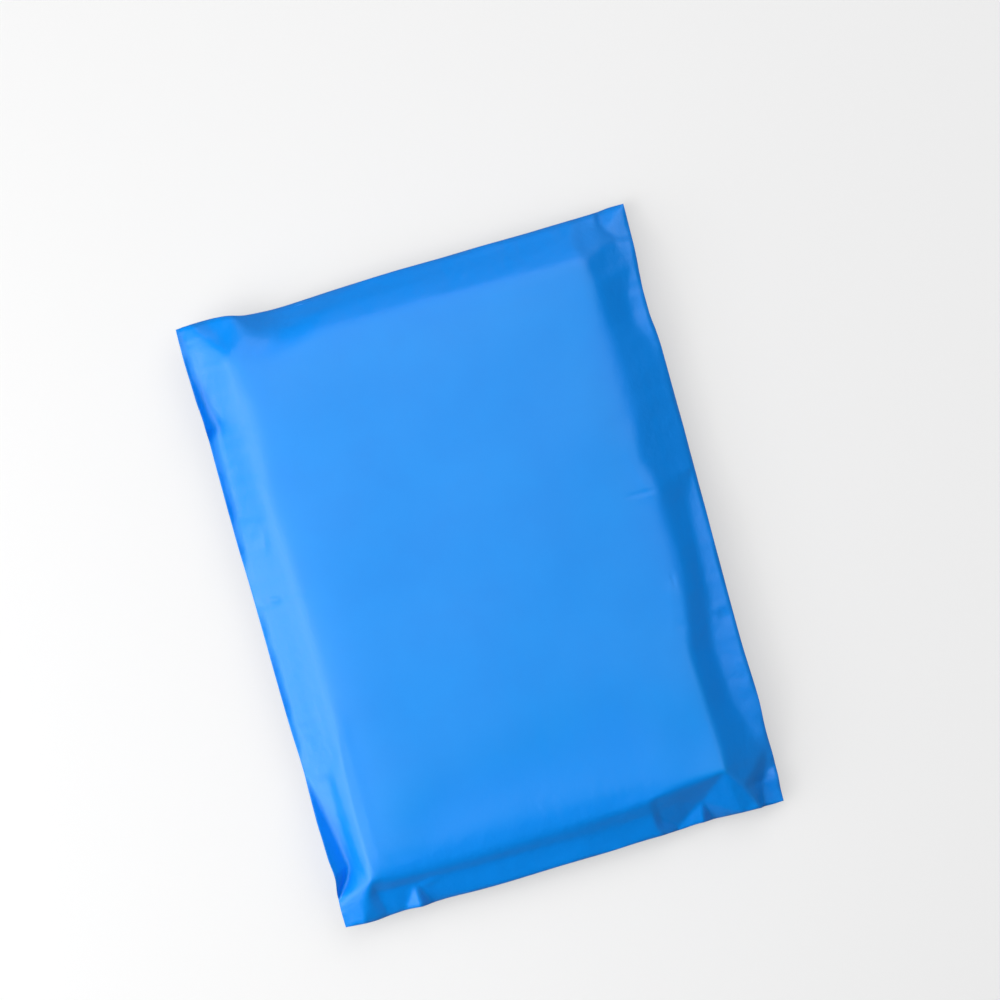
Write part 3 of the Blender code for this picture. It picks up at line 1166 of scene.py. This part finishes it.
class NodeBench:
    """Where the nodes of one material or room are put together."""

    def __init__(self, owner: bpy.types.Material | bpy.types.World) -> None:
        """Turn on the owner's nodes."""
        owner.use_nodes = True
        self.nodes, self.links = owner.node_tree.nodes, owner.node_tree.links

    def place(self) -> bpy.types.NodeSocket:
        """Place on the object."""
        return self.nodes.new("ShaderNodeTexCoord").outputs["Object"]

    def seen(self) -> bpy.types.NodeSocket:
        """One where a surface is looked at, and nought where it only throws light."""
        return self.nodes.new("ShaderNodeLightPath").outputs["Is Camera Ray"]

    def noise(self, place: bpy.types.NodeSocket, pattern: Pattern) -> bpy.types.NodeSocket:
        """A noise pattern's value.

        Args:
            place: Where the pattern is read.
            pattern: Its scale, detail and stretch.

        Returns:
            The value, from nought to one.
        """
        mapping = self.nodes.new("ShaderNodeMapping")
        mapping.inputs["Scale"].default_value = pattern.stretch
        noise = self.nodes.new("ShaderNodeTexNoise")
        noise.inputs["Scale"].default_value = pattern.scale
        noise.inputs["Detail"].default_value = pattern.detail
        self.links.new(place, mapping.inputs["Vector"])
        self.links.new(mapping.outputs["Vector"], noise.inputs["Vector"])
        return noise.outputs["Fac"]

    def ranged(
        self,
        value: bpy.types.NodeSocket,
        limits: tuple[float, float],
        levels: tuple[float, float] = (0.0, 1.0),
        eased: bool = False,
    ) -> bpy.types.NodeSocket:
        """A value carried from one range to another.

        Args:
            value: The value.
            limits: Its range, past which it stays at the end.
            levels: The new range.
            eased: Whether the change starts and ends gently.

        Returns:
            The new value.
        """
        node = self.nodes.new("ShaderNodeMapRange")
        node.interpolation_type = "SMOOTHSTEP" if eased else "LINEAR"
        node.inputs["From Min"].default_value, node.inputs["From Max"].default_value = limits
        node.inputs["To Min"].default_value, node.inputs["To Max"].default_value = levels
        self.links.new(value, node.inputs["Value"])
        return node.outputs["Result"]

    def mixed(
        self, share: bpy.types.NodeSocket, first: Colour | bpy.types.NodeSocket, second: Colour
    ) -> bpy.types.NodeSocket:
        """A colour between two.

        Args:
            share: How much of the second colour there is.
            first: The first colour.
            second: The second colour.

        Returns:
            The mixed colour.
        """
        node = self.nodes.new("ShaderNodeMix")
        node.data_type = "RGBA"
        self.links.new(share, node.inputs["Factor"])
        if isinstance(first, tuple):
            node.inputs["A"].default_value = first
        else:
            self.links.new(first, node.inputs["A"])
        node.inputs["B"].default_value = second
        return node.outputs["Result"]


@dataclass(frozen=True)
class FilmFinish:
    """Satin opaque blue polyethylene, with painted shade: a deeper blue on the slopes below the top face."""

    blue: Colour = (0.0, 0.276, 0.875, 1.0)
    pale_blue: Colour = (0.0, 0.292, 0.9, 1.0)
    # Painted shade: the deeper blue of the slopes, standing in for the hue of their shade.
    slope_shade_blue: Colour = (0.0, 0.28, 0.965, 1.0)
    gloss: float = 0.45
    roughness: tuple[float, float] = (0.33, 0.39)
    cloud: Pattern = Pattern(34.0, 4.0)
    cloud_limits: tuple[float, float] = (0.35, 0.65)
    streak: Pattern = Pattern(420.0, 2.0, (1.0, 0.02, 1.0), 0.000012)
    streak_limits: tuple[float, float] = (0.3, 0.7)
    crinkle: Pattern = Pattern(240.0, 3.0, (1.0, 0.8, 1.0), 0.00022)
    grain: Pattern = Pattern(2600.0, 1.0, lift=0.000008)
    # Heights over which the top face gives way to the slopes; the share there sets the crinkle bump and the
    # painted shade.
    tight_height: float = 0.0291
    loose_height: float = 0.0272
    tight_share: float = 0.12

    def material(self) -> bpy.types.Material:
        """The film's material: clouded blue with drawn-out streaks, fine crinkles and grain, and a deeper
        blue painted on the slopes as shade.

        Returns:
            The material.
        """
        material = bpy.data.materials.new("blue_film")
        bench = NodeBench(material)
        nodes, links = bench.nodes, bench.links
        shader = nodes["Principled BSDF"]
        shader.inputs["Specular IOR Level"].default_value = self.gloss
        place = bench.place()
        height = nodes.new("ShaderNodeSeparateXYZ")
        links.new(place, height.inputs["Vector"])
        limits = (self.tight_height, self.loose_height)
        slope_share = bench.ranged(height.outputs["Z"], limits, (self.tight_share, 1.0))
        cloud = bench.ranged(bench.noise(place, self.cloud), self.cloud_limits)
        clouded = bench.mixed(cloud, self.blue, self.pale_blue)
        # Painted shade: the slopes are mixed towards the deeper blue.
        links.new(bench.mixed(slope_share, clouded, self.slope_shade_blue), shader.inputs["Base Color"])
        streak = bench.noise(place, self.streak)
        satin = bench.ranged(streak, self.streak_limits, self.roughness)
        links.new(satin, shader.inputs["Roughness"])
        normal = None
        for pattern in (self.crinkle, self.streak, self.grain):
            value = streak if pattern is self.streak else bench.noise(place, pattern)
            bump = nodes.new("ShaderNodeBump")
            bump.inputs["Distance"].default_value = pattern.lift
            links.new(value, bump.inputs["Height"])
            if pattern is self.crinkle:
                links.new(slope_share, bump.inputs["Strength"])
            if normal:
                links.new(normal, bump.inputs["Normal"])
            normal = bump.outputs["Normal"]
        links.new(normal, shader.inputs["Normal"])
        return material


@dataclass(frozen=True)
class TableFinish:
    """Plain pale studio floor."""

    pale: Colour = (0.9, 0.9, 0.9, 1.0)
    bounce: Colour = (0.22, 0.22, 0.22, 1.0)
    roughness: float = 0.9
    near_share: float = 0.5
    far_level: float = 0.94
    fade: tuple[float, float] = (0.42, 1.3)

    def material(self) -> bpy.types.Material:
        """The floor's material, which throws little light back on the bag.

        Far from the bag it fades into the room's pale level, so no horizon shows.

        Returns:
            The material.
        """
        material = bpy.data.materials.new("pale_floor")
        bench = NodeBench(material)
        nodes, links = bench.nodes, bench.links
        shader = nodes["Principled BSDF"]
        shader.inputs["Roughness"].default_value = self.roughness
        seen = bench.seen()
        links.new(bench.mixed(seen, self.bounce, self.pale), shader.inputs["Base Color"])
        distance = nodes.new("ShaderNodeVectorMath")
        distance.operation = "LENGTH"
        links.new(bench.place(), distance.inputs[0])
        share = bench.ranged(distance.outputs["Value"], self.fade, (self.near_share, 1.0), eased=True)
        only_seen = nodes.new("ShaderNodeMath")
        only_seen.operation = "MULTIPLY"
        links.new(share, only_seen.inputs[0])
        links.new(seen, only_seen.inputs[1])
        glow = nodes.new("ShaderNodeEmission")
        glow.inputs["Strength"].default_value = self.far_level
        blend = nodes.new("ShaderNodeMixShader")
        links.new(only_seen.outputs["Value"], blend.inputs["Fac"])
        links.new(shader.outputs["BSDF"], blend.inputs[1])
        links.new(glow.outputs["Emission"], blend.inputs[2])
        links.new(blend.outputs["Shader"], nodes["Material Output"].inputs["Surface"])
        return material


@dataclass(frozen=True)
class Softbox:
    """A soft square light: its bearing from the bag in degrees, metres and watts."""

    name: str
    turn: float
    rise: float
    distance: float
    power: float
    size: float = 0.9


@dataclass
class Studio:
    """Floor, lights and the camera at the photo's angle."""

    softboxes: tuple[Softbox, ...] = (
        Softbox("left_back_low", 170, 25, 1.05, 3.3),
        Softbox("left_front_low", 200, 25, 1.05, 2.7),
        Softbox("left_front_mid", 194, 45, 1.05, 4.1),
        Softbox("left_back_high", 170, 65, 1.05, 2.5),
        Softbox("back_low", 60, 30, 1.8, 6.6, 2.0),
        Softbox("back_high", 60, 60, 1.8, 15.5, 2.0),
        Softbox("right_low", 322, 30, 1.8, 2.5, 2.0),
    )
    photo_pixels: float = 1000.0
    pixel: float = 0.476 * MM
    bag_turn: float = math.radians(15.6)
    view_x: float = 16.2 * MM
    view_y: float = 28.4 * MM
    camera_height: float = 2.2
    sensor: float = 36.0
    bag_middle: float = 0.02
    sight: float = 20.0
    floor_size: float = 3.0
    floor_drop: float = 0.0002
    room_white: Colour = (1.0, 1.0, 1.0, 1.0)
    room_light: float = 0.02
    room_seen: float = 0.94

    def build(self) -> None:
        """Make the whole studio."""
        self.floor()
        self.lights()
        self.camera()
        bpy.context.scene.view_settings.view_transform = "Standard"

    def floor(self) -> None:
        """A wide pale floor just under the bag."""
        top = bmesh.new()
        bmesh.ops.create_grid(top, x_segments=1, y_segments=1, size=self.floor_size)
        floor = finished(top, "studio_floor")
        floor.data.materials.append(TableFinish().material())
        floor.location.z = -self.floor_drop

    def lights(self) -> None:
        """Softboxes round the bag, the strongest low on its left, and a pale room."""
        for softbox in self.softboxes:
            self.hang(softbox)
        world = bpy.data.worlds.new("pale_room")
        bpy.context.scene.world = world
        bench = NodeBench(world)
        background = bench.nodes["Background"]
        background.inputs["Color"].default_value = self.room_white
        level = bench.ranged(bench.seen(), (0.0, 1.0), (self.room_light, self.room_seen))
        bench.links.new(level, background.inputs["Strength"])

    def hang(self, softbox: Softbox) -> None:
        """Place a square area light that points at the bag.

        Args:
            softbox: Its place and power.
        """
        lamp = bpy.data.lights.new(softbox.name, "AREA")
        lamp.shape = "SQUARE"
        lamp.size = softbox.size
        lamp.energy = softbox.power
        light = bpy.data.objects.new(softbox.name, lamp)
        turn, rise = math.radians(softbox.turn), math.radians(softbox.rise)
        level = math.cos(rise)
        away = Vector((math.cos(turn) * level, math.sin(turn) * level, math.sin(rise)))
        light.location = away * softbox.distance
        light.rotation_euler = (-away).to_track_quat("-Z", "Y").to_euler()
        bpy.context.scene.collection.objects.link(light)

    def camera(self) -> None:
        """A long lens that looks straight down, turned as in the photo."""
        lens = bpy.data.cameras.new("photo_camera")
        lens.sensor_width = self.sensor
        distance = self.camera_height - self.bag_middle
        lens.lens = self.sensor * distance / (self.photo_pixels * self.pixel)
        lens.clip_end = self.sight
        camera = bpy.data.objects.new("photo_camera", lens)
        right = Vector((math.cos(self.bag_turn), -math.sin(self.bag_turn), 0.0))
        up = Vector((math.sin(self.bag_turn), math.cos(self.bag_turn), 0.0))
        turned = Matrix((right, up, Vector((0.0, 0.0, 1.0)))).transposed().to_4x4()
        turned.translation = Vector((self.view_x, self.view_y, self.camera_height))
        camera.matrix_world = turned
        bpy.context.scene.collection.objects.link(camera)
        bpy.context.scene.camera = camera


def main() -> None:
    """Build the bag and the studio."""
    logging.basicConfig(level=logging.INFO, format="%(message)s")
    Studio().build()
    bag = FilmBag()
    Settling().run(bag)
    finish = FilmFinish().material()
    film = bag.sewn("mailer_film", graded(bag.fine_x), graded(bag.fine_y), merged=False)
    flap = Flap().build(bag)
    for piece in (film, flap):
        piece.data.shade_smooth()
        piece.data.materials.append(finish)
        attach(piece, "root")
        LOG.info("%s: %d faces", piece.name, len(piece.data.polygons))
    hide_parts("mailer_bag")


if __name__ == "__main__":
    main()
